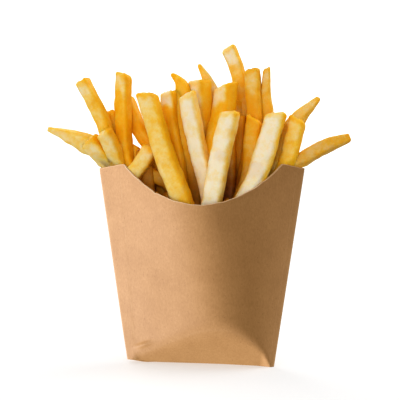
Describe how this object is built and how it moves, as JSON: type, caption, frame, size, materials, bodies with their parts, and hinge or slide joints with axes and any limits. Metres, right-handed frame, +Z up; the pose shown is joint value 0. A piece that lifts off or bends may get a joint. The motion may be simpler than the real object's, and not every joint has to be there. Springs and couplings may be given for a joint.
{
  "type": "french fries in a carton",
  "caption": "Upright folded kraft board carton with a round scoop in its front, packed full of thick-cut fries that fan out above the rim.",
  "frame": {"origin": "on the table under the middle of the carton's mouth", "axes": "+Z up, +X to the right and -Y towards whoever faces the scooped front board"},
  "size_m": [0.1475, 0.044, 0.1556],
  "materials": {
    "kraft_board": "uncoated, matt",
    "fried_potato": "satin, browned at the edges"
  },
  "bodies": {
    "root": {"carton": "kraft_board", "fries": "fried_potato"}
  },
  "joints": []
}
